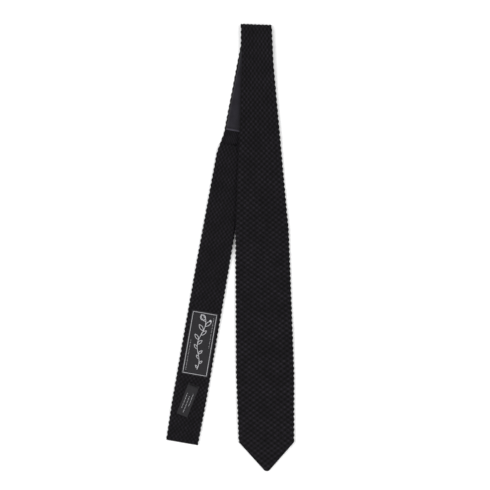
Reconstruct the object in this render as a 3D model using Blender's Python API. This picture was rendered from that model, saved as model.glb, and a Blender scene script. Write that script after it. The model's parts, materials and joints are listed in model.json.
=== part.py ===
"""A pointed silk knit necktie, laid flat and folded once at the neck.

Metres, +Z up. The tie lies face up on z = 0: the fold is at the +Y end and both ends point to -Y. The tail
side (narrow end) lies underneath with its back showing, and the blade side (wide end) lies on top of it.
Every place along a side is a distance from the fold. The whole model is centred on its footprint at the end.
"""

from math import cos, pi, radians, sin, tan

import bmesh
import bpy
from mathutils import Matrix, Vector

# Overall sizes
BLADE_LENGTH = 0.715  # from the fold to the rounded tip
TAIL_LENGTH = 0.669  # from the fold to the middle of the square end
FOLD_WIDTH = 0.050
GAP = 0.0003  # clearance between pieces that touch

# Blade side: where it leans and how wide it is
BLADE_LEAN = radians(1.36)
BLADE_BOW = 0.0014  # how far the middle bows out of the straight line
BLADE_NECK_WIDTH = 0.0514
BLADE_NECK_AT = 0.058
BLADE_TUBE_WIDTH = 0.068
BLADE_SHELF_WIDTH = 0.0864
BLADE_SHELF_AT = 0.330
BLADE_WIDEST = 0.0938
WIDEST_FROM_TIP = 0.158
SHOULDER_WIDTH = 0.0897
TIP_HALF_ANGLE = radians(41.6)
NOSE_RADIUS = 0.0063
NOSE_STEPS = 5
NOSE_ENDS_AT = radians(82)  # the round nose closes with a short straight edge past this angle

# Tail side: where it leans and how wide it is
NECK_LEAN = radians(11.3)
NECK_TURNS_AT = 0.029  # the neck runs straight down from the fold as far as this
NECK_END_WIDTH = 0.0475
FLARE_AT = 0.172  # the single neck layer begins to widen here
FLARE_LENGTH = 0.030  # and has reached the tube's width this much further down
FLARE_SHIFT = 0.0038  # and moved this much further sideways
TAIL_LEAN = radians(9.85)
TAIL_TUBE_WIDTH = 0.0506
TAIL_WIDEST = 0.0555
TAIL_WIDEST_FROM_END = 0.067
TAIL_END_WIDTH = 0.0512

FOLD_SLANT = radians(2.2)  # the fold line drops this much towards +X
TUBE_AT = 0.191  # distance from the fold where each side becomes a closed tube
BLADE_CREASE = 0.394
TAIL_CREASE = 0.381
BLADE_DROPS_FROM = 0.339  # the blade leaves the tail here and comes down to z = 0 at its crease

# Layers
KNIT = 0.0014
LINING = 0.0008
SATIN = 0.0004
LABEL = 0.0004
BLADE_LOFT = 0.0010  # how high the blade tube rides above the tail tube
LINING_MARGIN = 0.004
SATIN_MARGIN = 0.002
BARE_NECK = 0.0215  # from the satin's hem to the tube, where the neck knit's wrong side shows
HEM_DEPTH = 0.008

# Labels and stitches
BRAND_LABEL = (0.043, 0.1040)
BRAND_LABEL_FROM_END = 0.1618  # to its middle
BRAND_LABEL_SHIFT = 0.0011
CARE_LABEL = (0.0184, 0.0528)
CARE_LABEL_FROM_END = 0.0695
CARE_LABEL_SHIFT = -0.0022
CARE_LABEL_ASKEW = radians(12.0)
TACK_MARGIN = 0.003  # length of the care label that its tack holds down
THREAD_RADIUS = 0.0002
STITCH_MARGIN = 0.0012
BAR_TACK = (0.005, 0.0016, 0.0009)
CARE_TACK = (0.014, 0.0012, 0.0006)
TIP_FACING_MARGIN = 0.003
HEM_STITCHES = 18
TIP_STITCHES = 12  # along each side of the point
CLOSING_STITCHES = 14
LABEL_STITCHES = 8  # along each side of the large label
FOLD_STEPS = 10  # flats round the half turn at the neck

# Heights worked out from the layers
TUBE = 2 * KNIT + LINING + 2 * GAP
LINING_AT = KNIT + GAP
SATIN_AT = LINING_AT + LINING + GAP
BACK_AT = LINING_AT + LINING + GAP
NECK_STACK = SATIN_AT + SATIN
FOLD_AXIS_Z = NECK_STACK + GAP / 2
UPPER_BASE = NECK_STACK + GAP  # underside of the blade side's satin at the fold
BLADE_BASE = TUBE + BLADE_LOFT  # underside of the blade tube where it lies on the tail
SATIN_LENGTH = TUBE_AT - BARE_NECK  # from the fold to the hem


def remove_everything():
    for thing in list(bpy.data.objects):
        bpy.data.objects.remove(thing)


def make_material(name, colour, roughness):
    material = bpy.data.materials.new(name)
    material.use_nodes = True
    shader = material.node_tree.nodes["Principled BSDF"]
    shader.inputs["Base Color"].default_value = (*colour, 1.0)
    shader.inputs["Roughness"].default_value = roughness
    shader.inputs["Metallic"].default_value = 0.0
    return material


def between(stations, distance):
    """The values at a distance, read off straight lines between (distance, value, ...) stations."""
    for near, far in zip(stations, stations[1:]):
        if distance <= far[0]:
            share = (distance - near[0]) / (far[0] - near[0])
            return tuple(a + (b - a) * share for a, b in zip(near[1:], far[1:]))
    return stations[-1][1:]


def blade_centre(distance):
    share = distance / BLADE_LENGTH
    return distance * tan(BLADE_LEAN) + 4 * BLADE_BOW * share * (1 - share)


def blade_sections():
    """(distance, middle, width) down the blade, with the pointed tip's sides and its round nose."""
    cut_off = NOSE_RADIUS * (1 / sin(TIP_HALF_ANGLE) - 1)
    shoulder = BLADE_LENGTH + cut_off - SHOULDER_WIDTH / 2 / tan(TIP_HALF_ANGLE)
    widths = [
        (0.0, FOLD_WIDTH),
        (BLADE_NECK_AT, BLADE_NECK_WIDTH),
        (TUBE_AT, BLADE_TUBE_WIDTH),
        (BLADE_SHELF_AT, BLADE_SHELF_WIDTH),
        (BLADE_LENGTH - WIDEST_FROM_TIP, BLADE_WIDEST),
        (shoulder, SHOULDER_WIDTH),
    ]
    for step in range(NOSE_STEPS + 1):
        angle = TIP_HALF_ANGLE + (NOSE_ENDS_AT - TIP_HALF_ANGLE) * step / NOSE_STEPS
        along = BLADE_LENGTH - NOSE_RADIUS * (1 - sin(angle))
        widths.append((along, 2 * NOSE_RADIUS * cos(angle)))
    return [(d, blade_centre(d), w) for d, w in widths], shoulder


def tail_sections():
    """(distance, middle, width) down the tail side: the neck, the flare into the tube, the tube."""
    neck_end = -(FLARE_AT - NECK_TURNS_AT) * tan(NECK_LEAN)
    flare_end = neck_end - FLARE_LENGTH * tan(NECK_LEAN) - FLARE_SHIFT
    flared_at = FLARE_AT + FLARE_LENGTH
    widest = TAIL_LENGTH - TAIL_WIDEST_FROM_END

    def tube_middle(distance):
        return flare_end - (distance - flared_at) * tan(TAIL_LEAN)

    return [
        (0.0, 0.0, FOLD_WIDTH),
        (NECK_TURNS_AT, 0.0, FOLD_WIDTH),
        (FLARE_AT, neck_end, NECK_END_WIDTH),
        (flared_at, flare_end, TAIL_TUBE_WIDTH),
        (widest, tube_middle(widest), TAIL_WIDEST),
        (TAIL_LENGTH, tube_middle(TAIL_LENGTH), TAIL_END_WIDTH),
    ]


BLADE, SHOULDER_AT = blade_sections()
TAIL = tail_sections()
BLADE_HEIGHTS = [
    (0.0, UPPER_BASE),
    (TUBE_AT, BLADE_BASE),
    (BLADE_DROPS_FROM, BLADE_BASE),
    (BLADE_CREASE, 0.0),
]


def blade_base(distance):
    """Height of the blade side's underside."""
    return between(BLADE_HEIGHTS, distance)[0]


def face_offset(distance):
    """How far the face knit is above the blade side's underside: it rises as the neck becomes a tube."""
    at_fold = SATIN + GAP + LINING + GAP
    return between([(0.0, at_fold), (TUBE_AT, BACK_AT)], distance)[0]


def on_tail(height):
    return lambda distance: height


def finish(name, mesh_builder, material):
    bmesh.ops.recalc_face_normals(mesh_builder, faces=mesh_builder.faces)
    mesh = bpy.data.meshes.new(name)
    mesh_builder.to_mesh(mesh)
    mesh_builder.free()
    mesh.materials.append(material)
    made = bpy.data.objects.new(name, mesh)
    bpy.context.scene.collection.objects.link(made)
    return made


def strip(name, side, start, end, height, thickness, material, margin=0.0, slants=(0.0, 0.0)):
    """A flat layer of cloth along one side, from one distance to another.

    margin is how far it keeps inside the side's edges, height gives its underside's z at a distance, and
    slants tilt its first and last edges, as a rise over their width towards +X.
    """
    stops = [start, end]
    stops += [s[0] for s in side if start + GAP < s[0] < end - GAP]
    if side is BLADE:
        stops += [h[0] for h in BLADE_HEIGHTS if start + GAP < h[0] < end - GAP]
    stops = sorted(set(stops))
    builder = bmesh.new()
    edge = None
    for stop in stops:
        middle, width = between(side, stop)
        slant = {start: slants[0], end: slants[1]}.get(stop, 0.0)
        half = width / 2 - margin
        places = [Vector((middle + x, -stop - x * tan(slant), height(stop))) for x in (-half, half)]
        if edge is None:
            edge = builder.edges.new([builder.verts.new(place) for place in places])
            continue
        made = bmesh.ops.extrude_edge_only(builder, edges=[edge])["geom"]
        edge = next(item for item in made if isinstance(item, bmesh.types.BMEdge))
        left, right = sorted(edge.verts, key=lambda vert: vert.co.x)
        left.co, right.co = places
    thick = bmesh.ops.extrude_face_region(builder, geom=builder.faces[:])["geom"]
    raised = [item for item in thick if isinstance(item, bmesh.types.BMVert)]
    bmesh.ops.translate(builder, verts=raised, vec=(0, 0, thickness))
    return finish(name, builder, material)


def half_ring(name, outer, thickness, width, material):
    """The bend of one layer over the fold: a rectangle turned half round the fold line."""
    builder = bmesh.new()
    profile = [
        builder.verts.new((x, 0, z))
        for x, z in (
            (-width / 2, outer - thickness),
            (width / 2, outer - thickness),
            (width / 2, outer),
            (-width / 2, outer),
        )
    ]
    face = builder.faces.new(profile)
    bmesh.ops.spin(
        builder,
        geom=[face],
        cent=(0, 0, 0),
        axis=(1, 0, 0),
        angle=-pi,
        steps=FOLD_STEPS,
        use_duplicate=False,
    )
    placed = Matrix.Translation((0, GAP, FOLD_AXIS_Z)) @ Matrix.Rotation(-FOLD_SLANT, 4, "Z")
    bmesh.ops.transform(builder, matrix=placed, verts=builder.verts)
    return finish(name, builder, material)


def block(name, size, place, turn, material):
    """A small rectangular piece, such as a label or a bar tack. place is the middle of its underside."""
    builder = bmesh.new()
    bmesh.ops.create_cube(builder, size=1.0)
    bmesh.ops.scale(builder, vec=size, verts=builder.verts)
    bmesh.ops.translate(builder, vec=(0, 0, size[2] / 2), verts=builder.verts)
    placed = Matrix.Translation(place) @ Matrix.Rotation(turn, 4, "Z")
    bmesh.ops.transform(builder, matrix=placed, verts=builder.verts)
    return finish(name, builder, material)


def thread(name, points, material, closed=False):
    """A sewing thread through the points, joined up if closed."""
    curve = bpy.data.curves.new(name, "CURVE")
    curve.dimensions = "3D"
    curve.bevel_depth = THREAD_RADIUS
    curve.bevel_resolution = 1
    curve.use_fill_caps = not closed
    line = curve.splines.new("POLY")
    line.points.add(len(points) - 1)
    for point, place in zip(line.points, points):
        point.co = (*place, 1.0)
    line.use_cyclic_u = closed
    curve.materials.append(material)
    made = bpy.data.objects.new(name, curve)
    bpy.context.scene.collection.objects.link(made)
    return made


def tail_place(from_end, shift, height):
    """A point on the tail, measured up its middle line from the square end."""
    end = Vector((TAIL[-1][1], -TAIL_LENGTH, height))
    up = Vector((sin(TAIL_LEAN), cos(TAIL_LEAN), 0))
    across = Vector((cos(TAIL_LEAN), -sin(TAIL_LEAN), 0))
    return end + up * from_end + across * shift


def care_label_place(along):
    """A point under the care label's middle line, measured from its middle towards its sewn end."""
    middle = tail_place(CARE_LABEL_FROM_END, CARE_LABEL_SHIFT, TUBE + GAP)
    return middle + Matrix.Rotation(-TAIL_LEAN - CARE_LABEL_ASKEW, 3, "Z") @ Vector((0, along, 0))


def across_side(side, distance, margin, height, stitches):
    """Points of a wavering stitch line from edge to edge of a side."""
    middle, width = between(side, distance)
    half = width / 2 - margin
    places = []
    for step in range(stitches + 1):
        x = -half + 2 * half * step / stitches
        waver = STITCH_MARGIN / 2 * (-1) ** step
        places.append((middle + x, -distance + waver, height))
    return places


def make_fold(knit, lining, satin):
    """The three layers where they turn over at the neck, knit outside and satin inside."""
    outer = FOLD_AXIS_Z
    half_ring("neck_fold_knit", outer, KNIT, FOLD_WIDTH, knit)
    lining_outer = outer - KNIT - GAP
    half_ring("neck_fold_interlining", lining_outer, LINING, FOLD_WIDTH - 2 * LINING_MARGIN, lining)
    satin_outer = lining_outer - LINING - GAP
    half_ring("neck_fold_satin", satin_outer, SATIN, FOLD_WIDTH - 2 * SATIN_MARGIN, satin)


def make_neck_layers(side_name, side, height_of, satin_lower, knit_upper, lining, satin):
    """The satin facing and the interlining under it, from the fold to the hem, on one side."""
    slants = (FOLD_SLANT, 0.0)
    strip(
        f"neck_interlining_{side_name}",
        side,
        0.0,
        SATIN_LENGTH - HEM_DEPTH,
        lambda d: height_of(d) + knit_upper,
        LINING,
        lining,
        LINING_MARGIN,
        slants,
    )
    strip(
        f"neck_satin_{side_name}",
        side,
        0.0,
        SATIN_LENGTH,
        lambda d: height_of(d) + satin_lower,
        SATIN,
        satin,
        SATIN_MARGIN,
        slants,
    )


def make_tail(knit, lining, satin, sewing):
    """The tail side from the fold to its crease: neck, satin facing, tube and bar tack."""
    crease = -TAIL_LEAN
    ends = TAIL_CREASE - GAP / 2
    strip("tail_face_knit", TAIL, 0.0, ends, on_tail(0.0), KNIT, knit, 0.0, (FOLD_SLANT, -crease))
    make_neck_layers("tail_side", TAIL, on_tail(0.0), SATIN_AT, LINING_AT, lining, satin)
    slants = (0.0, -crease)
    inside = (TUBE_AT + LINING_MARGIN, ends)
    strip("tail_interlining", TAIL, *inside, on_tail(LINING_AT), LINING, lining, LINING_MARGIN, slants)
    strip("tail_back_knit", TAIL, TUBE_AT, ends, on_tail(BACK_AT), KNIT, knit, 0.0, slants)
    tack_at = TUBE_AT - GAP - BAR_TACK[1] / 2
    place = (between(TAIL, tack_at)[0], -tack_at, KNIT + GAP)
    block("bar_tack_tail", BAR_TACK, place, -TAIL_LEAN, sewing)
    hem = across_side(
        TAIL,
        SATIN_LENGTH - HEM_DEPTH / 2,
        2 * SATIN_MARGIN,
        NECK_STACK + GAP + THREAD_RADIUS,
        HEM_STITCHES,
    )
    thread("satin_hem_thread_tail_side", hem, sewing)


def make_blade(knit, lining, satin, sewing):
    """The blade side from the fold to its crease."""
    ends = BLADE_CREASE - GAP / 2
    strip(
        "blade_face_knit",
        BLADE,
        0.0,
        ends,
        lambda d: blade_base(d) + face_offset(d),
        KNIT,
        knit,
        0.0,
        (FOLD_SLANT, -BLADE_LEAN),
    )
    make_neck_layers("blade_side", BLADE, blade_base, 0.0, SATIN + GAP, lining, satin)
    slants = (0.0, -BLADE_LEAN)
    inside = (TUBE_AT + LINING_MARGIN, ends)
    strip(
        "blade_interlining",
        BLADE,
        *inside,
        lambda d: blade_base(d) + LINING_AT,
        LINING,
        lining,
        LINING_MARGIN,
        slants,
    )
    strip("blade_back_knit", BLADE, TUBE_AT, ends, blade_base, KNIT, knit, 0.0, slants)
    tack_at = TUBE_AT - GAP - BAR_TACK[1] / 2
    place = (between(BLADE, tack_at)[0], -tack_at, BLADE_BASE + KNIT - BAR_TACK[2])
    block("bar_tack_blade", BAR_TACK, place, BLADE_LEAN, sewing)
    hem_at = SATIN_LENGTH - HEM_DEPTH / 2
    below = blade_base(hem_at) - GAP - THREAD_RADIUS
    hem = across_side(BLADE, hem_at, 2 * SATIN_MARGIN, below, HEM_STITCHES)
    thread("satin_hem_thread_blade_side", hem, sewing)


def make_blade_end(knit, lining, satin, sewing):
    """The lower blade with its pointed tip, lined at the back with a satin facing."""
    starts = BLADE_CREASE + GAP / 2
    slants = (-BLADE_LEAN, 0.0)
    tip = BLADE[-1][0]
    strip("blade_end_face_knit", BLADE, starts, tip, on_tail(BACK_AT), KNIT, knit, 0.0, slants)
    sharp = BLADE_LENGTH + NOSE_RADIUS * (1 / sin(TIP_HALF_ANGLE) - 1)
    lining_tip = sharp - 2 * LINING_MARGIN / tan(TIP_HALF_ANGLE)
    strip(
        "blade_end_interlining",
        BLADE,
        starts,
        lining_tip,
        on_tail(LINING_AT),
        LINING,
        lining,
        LINING_MARGIN,
        slants,
    )
    strip("blade_end_back_knit", BLADE, starts, SHOULDER_AT, on_tail(0.0), KNIT, knit, 0.0, slants)
    facing_tip = sharp - 2 * TIP_FACING_MARGIN / tan(TIP_HALF_ANGLE)
    facing_from = SHOULDER_AT + GAP
    height = on_tail(KNIT - SATIN)
    strip("blade_tip_facing", BLADE, facing_from, facing_tip, height, SATIN, satin, TIP_FACING_MARGIN)
    stitches = []
    margin = TIP_FACING_MARGIN + STITCH_MARGIN
    first, last = facing_from + STITCH_MARGIN, facing_tip - 3 * STITCH_MARGIN
    for sign in (-1, 1):
        side = []
        for step in range(TIP_STITCHES + 1):
            share = step / TIP_STITCHES
            distance = first + (last - first) * share
            middle, width = between(BLADE, distance)
            waver = STITCH_MARGIN / 3 * (-1) ** step
            x = middle + sign * (width / 2 - margin + waver)
            side.append((x, -distance, KNIT - SATIN - GAP - THREAD_RADIUS))
        stitches += side if sign < 0 else side[::-1]
    thread("tip_facing_thread", stitches, sewing)


def make_tail_end(knit, lining, label, sewing):
    """The lower tail with its square end, its two labels and the stitches that hold them."""
    starts = TAIL_CREASE + GAP / 2
    slants = (TAIL_LEAN, TAIL_LEAN)
    strip("tail_end_face_knit", TAIL, starts, TAIL_LENGTH, on_tail(0.0), KNIT, knit, 0.0, slants)
    inside = (starts, TAIL_LENGTH - LINING_MARGIN)
    strip(
        "tail_end_interlining",
        TAIL,
        *inside,
        on_tail(LINING_AT),
        LINING,
        lining,
        LINING_MARGIN,
        slants,
    )
    strip("tail_end_back_knit", TAIL, starts, TAIL_LENGTH, on_tail(BACK_AT), KNIT, knit, 0.0, slants)

    top = TUBE + GAP
    place = tail_place(BRAND_LABEL_FROM_END, BRAND_LABEL_SHIFT, top)
    block("brand_label", (*BRAND_LABEL, LABEL), place, -TAIL_LEAN, label)
    half_width = BRAND_LABEL[0] / 2 - STITCH_MARGIN
    half_length = BRAND_LABEL[1] / 2 - STITCH_MARGIN
    lift = Vector((0, 0, LABEL + GAP + THREAD_RADIUS))
    turned = Matrix.Rotation(-TAIL_LEAN, 3, "Z")
    corners = [(-1, -1), (1, -1), (1, 1), (-1, 1)]
    ring = []
    for (ax, ay), (bx, by) in zip(corners, corners[1:] + corners[:1]):
        for step in range(LABEL_STITCHES):
            x = (ax + (bx - ax) * step / LABEL_STITCHES) * half_width
            y = (ay + (by - ay) * step / LABEL_STITCHES) * half_length
            ring.append(place + lift + turned @ Vector((x, y, 0)))
    thread("brand_label_thread", ring, sewing, closed=True)

    width, length = CARE_LABEL
    turn = -TAIL_LEAN - CARE_LABEL_ASKEW
    flap = length - TACK_MARGIN - GAP / 2
    block("care_label", (width, flap, LABEL), care_label_place(flap / 2 - length / 2), turn, label)
    sewn = TACK_MARGIN - GAP / 2
    place = care_label_place(length / 2 - sewn / 2)
    block("care_label_sewn_end", (width, sewn, LABEL), place, turn, label)
    tack = place + Vector((0, 0, LABEL + GAP))
    block("care_label_tack", CARE_TACK, tack, turn, sewing)

    closing = []
    for step in range(CLOSING_STITCHES + 1):
        share = step / CLOSING_STITCHES - 0.5
        x = TAIL[-1][1] + share * (TAIL_END_WIDTH - 2 * STITCH_MARGIN)
        y = -TAIL_LENGTH - (x - TAIL[-1][1]) * tan(TAIL_LEAN)
        waver = STITCH_MARGIN / 2 * (-1) ** step
        closing.append((x, y + 2 * STITCH_MARGIN + waver, TUBE + GAP + THREAD_RADIUS))
    thread("tail_end_closing_thread", closing, sewing)


def make_hinges():
    """The points that the moving pieces turn about, and the names of the pieces that turn there."""
    blade = ("blade_face_knit", "blade_back_knit", "blade_interlining", "bar_tack_blade")
    neck = ("neck_interlining_blade_side", "neck_satin_blade_side", "satin_hem_thread_blade_side")
    blade_end = ("blade_end_face_knit", "blade_end_back_knit", "blade_end_interlining")
    tip = ("blade_tip_facing", "tip_facing_thread")
    tail_end = ("tail_end_face_knit", "tail_end_back_knit", "tail_end_interlining", "tail_end_closing_thread")
    labels = ("brand_label", "brand_label_thread", "care_label_sewn_end", "care_label_tack")
    neck_fold = Vector((0, GAP + FOLD_AXIS_Z, FOLD_AXIS_Z))
    blade_fold = Vector((between(BLADE, BLADE_CREASE)[0], -BLADE_CREASE, TUBE))
    tail_fold = Vector((between(TAIL, TAIL_CREASE)[0], -TAIL_CREASE, TUBE))
    care_label_lift = care_label_place(CARE_LABEL[1] / 2 - TACK_MARGIN) + Vector((0, 0, LABEL))
    return [
        (neck_fold, blade + neck),
        (blade_fold, blade_end + tip),
        (tail_fold, tail_end + labels),
        (care_label_lift, ("care_label",)),
    ]


def set_origins(hinges):
    """Gives each moving piece its origin on its joint's axis, without moving its shape."""
    for pivot, names in hinges:
        for name in names:
            made = bpy.data.objects[name]
            made.data.transform(Matrix.Translation(-pivot))
            made.location = pivot


def centre_on_footprint():
    """Moves the whole tie so that its bounding box stands over the origin."""
    bpy.context.view_layer.update()
    corners = [
        made.matrix_world @ Vector(corner)
        for made in bpy.data.objects
        if made.type in ("MESH", "CURVE")
        for corner in made.bound_box
    ]
    low = Vector([min(corner[axis] for corner in corners) for axis in range(3)])
    high = Vector([max(corner[axis] for corner in corners) for axis in range(3)])
    middle = (low + high) / 2
    for made in bpy.data.objects:
        made.location -= Vector((middle.x, middle.y, low.z))


def main():
    remove_everything()
    knit = make_material("black silk knit", (0.0125, 0.0120, 0.0145), 0.75)
    satin = make_material("black satin", (0.026, 0.027, 0.032), 0.35)
    lining = make_material("wool interlining", (0.48, 0.45, 0.38), 0.95)
    label = make_material("woven label", (0.016, 0.016, 0.018), 0.6)
    sewing = make_material("black sewing thread", (0.010, 0.010, 0.011), 0.6)
    make_fold(knit, lining, satin)
    make_tail(knit, lining, satin, sewing)
    make_blade(knit, lining, satin, sewing)
    make_blade_end(knit, lining, satin, sewing)
    make_tail_end(knit, lining, label, sewing)
    set_origins(make_hinges())
    centre_on_footprint()


main()
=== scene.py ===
"""The looks of a pointed silk knit necktie, laid flat and folded once at the neck.

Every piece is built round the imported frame, in metres, +Z up. The fold is at +Y and both ends point to -Y.
A place along a side is its distance from the fold, and the rows of knitting run across the side there.
"""

import json
from math import atan2, cos, pi, radians, sin, tau

import bmesh
import bpy
import numpy as np
from mathutils import Matrix, Vector


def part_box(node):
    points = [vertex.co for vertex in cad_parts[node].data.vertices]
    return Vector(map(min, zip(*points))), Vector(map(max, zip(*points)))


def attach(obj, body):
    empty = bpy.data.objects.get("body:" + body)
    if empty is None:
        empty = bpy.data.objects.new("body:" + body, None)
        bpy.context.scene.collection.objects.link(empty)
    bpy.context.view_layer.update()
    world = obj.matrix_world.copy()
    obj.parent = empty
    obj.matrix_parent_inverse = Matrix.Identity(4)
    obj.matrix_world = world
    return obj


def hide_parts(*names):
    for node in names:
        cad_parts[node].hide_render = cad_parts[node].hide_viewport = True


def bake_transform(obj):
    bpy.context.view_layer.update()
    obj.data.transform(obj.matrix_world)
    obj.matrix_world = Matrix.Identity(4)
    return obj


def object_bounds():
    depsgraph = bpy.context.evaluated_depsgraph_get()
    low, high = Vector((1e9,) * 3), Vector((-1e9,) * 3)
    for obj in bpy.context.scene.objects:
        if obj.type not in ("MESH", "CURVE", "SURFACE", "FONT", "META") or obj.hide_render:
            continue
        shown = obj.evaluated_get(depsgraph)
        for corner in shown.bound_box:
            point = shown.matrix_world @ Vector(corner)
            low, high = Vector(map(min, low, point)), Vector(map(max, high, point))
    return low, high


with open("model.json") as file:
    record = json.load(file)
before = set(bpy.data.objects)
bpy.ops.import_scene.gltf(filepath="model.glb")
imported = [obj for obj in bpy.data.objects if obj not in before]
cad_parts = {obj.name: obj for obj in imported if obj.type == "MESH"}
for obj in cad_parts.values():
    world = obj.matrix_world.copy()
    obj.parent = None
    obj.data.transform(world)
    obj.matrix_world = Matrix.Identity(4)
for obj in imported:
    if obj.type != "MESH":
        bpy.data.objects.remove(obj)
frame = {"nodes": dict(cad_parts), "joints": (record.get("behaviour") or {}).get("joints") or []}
CAD_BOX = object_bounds()

MM = 0.001

# The knit: 17 wales show on each face of a side, and its small hollows sit in staggered rows
WALES = 34  # round both faces
COLUMNS_PER_WALE = 4
ROWS_PER_REPEAT = 8
HOLLOW_DEPTH = 0.95 * MM
RIB_DEPTH = 0.30 * MM
SEAM_AT = 20 * MM  # where the piece that turns over at the neck meets the two long sides
KNIT_TURN, LINING_TURN, SATIN_TURN = 17, 9, 15  # rows round the turn. An odd number leaves none half way
FOLD_REPEATS = 5  # whole repeats round the turn, so that the stitches meet at both seams

# Soft forms
TUBE_ROUNDING = 5.0 * MM
LAYER_ROUNDING = 1.1 * MM
MOUTH = 1.4 * MM  # length over which a tube's back layer begins
DRAPE_LENGTH = 34 * MM  # how far past the tail's edge the blade takes to reach the floor
BED_LENGTH = 8 * MM  # how far apart the two sides are when the blade has left the tail
END_ROLL = 2.6 * MM
TIP_EASE = 2 * MM  # length over which the back layer ends at the shoulders
SUPPLE = 9 * MM  # the outline's corners are rounded off over this length above the creases
CRISP = 3 * MM  # and over this below them, where the shoulders and the point are pressed
WAVE = 160 * MM  # from crest to crest of the gentle waves down the cloth
WAVE_HEIGHT = 1.2 * MM
WAVE_FADE = 50 * MM
FLAT_LABELS = 20 * MM  # no waves from this far left of the tail's crease, where the labels are
NOSE = 8 * MM  # no rounding off of the outline this close to an end
SCALLOP = 0.28 * MM  # the sides sway this much with each repeat of the knitting
POINT_EDGE = 4 * MM  # the hollows fade out over this width along the point's pressed edges
HEM_DEPTH = 8 * MM
CREASE_REACH = 8 * MM  # half the length of cloth round a crease; blend_at_crease reads it but bends nothing
TIP_REACH = 14 * MM  # the pointed tip comes down to lie flat over this length past the shoulders
SLANT_FADE = 50 * MM  # the rows leave the fold's slant over this length
END_SLANT = (70 * MM, 50 * MM)  # and take the end's slant between these distances from it
FELT_ROUNDING = 0.4 * MM
THREAD = 0.22 * MM
SURE = 0.02 * MM  # merges only points that coincide


# --------------------------------------
# Sizes and outlines read off the frame


def low(node):
    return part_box(node)[0]


def high(node):
    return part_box(node)[1]


def joint_place(name):
    joint = next(joint for joint in frame["joints"] if joint["name"] == name)
    return Vector(joint["pos_m"])


def strip_ends(node):
    """The (left, right) points where a flat strip of the frame changes its outline, from the fold down."""
    seen = sorted({(round(-v.co.y, 5), round(v.co.x, 5)) for v in frame["nodes"][node].data.vertices})
    pairs = [sorted(pair, key=lambda place: place[1]) for pair in zip(seen[::2], seen[1::2])]
    return np.array([[(x, -y) for y, x in pair] for pair in pairs])


def new_object(name, data):
    made = bpy.data.objects.new(name, data)
    bpy.context.scene.collection.objects.link(made)
    return made


def mesh_from(builder, name, material=None):
    """Turns a mesh builder into a mesh."""
    mesh = bpy.data.meshes.new(name)
    builder.to_mesh(mesh)
    builder.free()
    if material:
        mesh.materials.append(material)
    return mesh


def smoothstep(value):
    value = np.clip(value, 0.0, 1.0)
    return value * value * (3 - 2 * value)


KNIT = high("tail_face_knit").z
LINING = (low("tail_interlining").z, high("tail_interlining").z)
SATIN = (low("neck_satin_tail_side").z, high("neck_satin_tail_side").z)
TUBE = high("tail_back_knit").z
FOLD_CENTRE = joint_place("neck_fold").z
BLADE_LIFT = low("neck_satin_blade_side").z  # under the blade side at the fold
BED = high("blade_back_knit").z - KNIT  # under the blade's tube where it lies on the tail


def rounded_off(values, reach):
    """The values smoothed over a reach, sampled every half millimetre."""
    half = round(reach / MM)
    window = np.hanning(2 * half + 3)[1:-1]
    padded = np.pad(values, half, mode="reflect", reflect_type="odd")
    return np.convolve(padded, window / window.sum(), mode="valid")


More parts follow.
